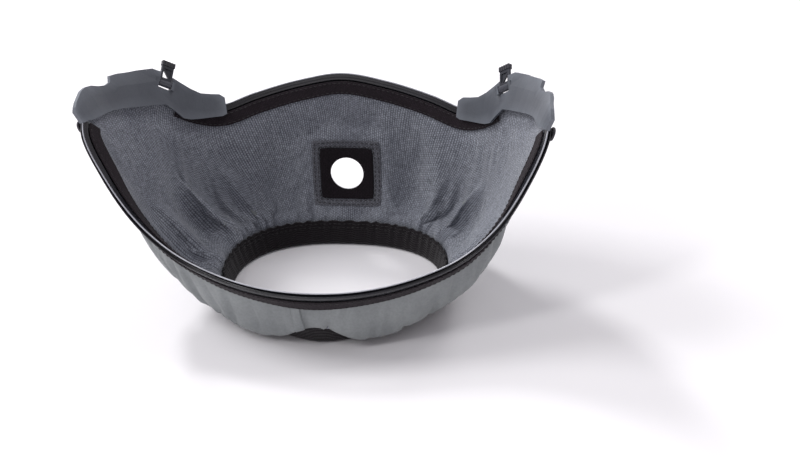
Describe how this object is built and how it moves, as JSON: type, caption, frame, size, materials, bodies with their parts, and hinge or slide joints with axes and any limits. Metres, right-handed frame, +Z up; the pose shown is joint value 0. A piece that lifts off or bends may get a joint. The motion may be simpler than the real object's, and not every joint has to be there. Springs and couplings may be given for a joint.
{
  "type": "smoke hood skirt",
  "caption": "Fabric bowl-shaped hood skirt with an elastic neck band, saddle-shaped rim strips, a rear air port and two corner brackets with small sprung latches.",
  "frame": {"origin": "middle of the bounding box, on the floor the neck band stands on", "axes": "+X to the right seen from the front, +Y to the rear (the side with the air port), +Z up"},
  "size_m": [0.2938, 0.1586, 0.1544],
  "materials": {
    "woven_lining": "fine plain weave",
    "coated_shell": "smooth coated",
    "neck_fabric": "ribbed elastic",
    "patch_fabric": "woven",
    "rim_tape": "woven tape",
    "rim_plastic": "extruded, glossy",
    "bracket_plastic": "moulded, matt",
    "backing_plastic": "moulded, matt",
    "latch_plastic": "moulded, satin",
    "grip_plastic": "ridged",
    "dark_steel": "blackened"
  },
  "bodies": {
    "hood": {"front_rim_channel": "rim_plastic", "front_rim_tape_inner": "rim_tape", "front_rim_tape_outer": "rim_tape", "front_seam_tape": "coated_shell", "left_backing_plate": "backing_plastic", "left_bracket": "bracket_plastic", "left_bracket_screw_1": "dark_steel", "left_bracket_screw_2": "dark_steel", "left_bracket_screw_3": "dark_steel", "left_latch_pin": "dark_steel", "left_rim_tab": "backing_plastic", "neck_binding": "neck_fabric", "neck_elastic": "neck_fabric", "port_frame": "patch_fabric", "port_pad": "neck_fabric", "rear_rim_channel": "rim_plastic", "rear_rim_tape_inner": "rim_tape", "rear_rim_tape_outer": "rim_tape", "right_backing_plate": "backing_plastic", "right_bracket": "bracket_plastic", "right_bracket_screw_1": "dark_steel", "right_bracket_screw_2": "dark_steel", "right_bracket_screw_3": "dark_steel", "right_latch_pin": "dark_steel", "right_rim_tab": "backing_plastic", "skirt_lining": "woven_lining", "skirt_shell": "coated_shell"},
    "left_latch": {"left_latch_lever": "latch_plastic", "left_latch_grip": "grip_plastic"},
    "right_latch": {"right_latch_lever": "latch_plastic", "right_latch_grip": "grip_plastic"}
  },
  "joints": [
    {"name": "left_latch_swing", "type": "hinge", "parent": "hood", "child": "left_latch", "pos_m": [-0.11126, 0.04375, 0.12603], "axis": [-0.742, -0.3566, 0.5676], "range_deg": [0, 50], "stiffness_Nm_per_rad": 0.004, "springref_deg": -17.19},
    {"name": "right_latch_swing", "type": "hinge", "parent": "hood", "child": "right_latch", "pos_m": [0.11126, 0.04375, 0.12603], "axis": [-0.742, 0.3566, -0.5676], "range_deg": [0, 50], "stiffness_Nm_per_rad": 0.004, "springref_deg": -17.19}
  ]
}
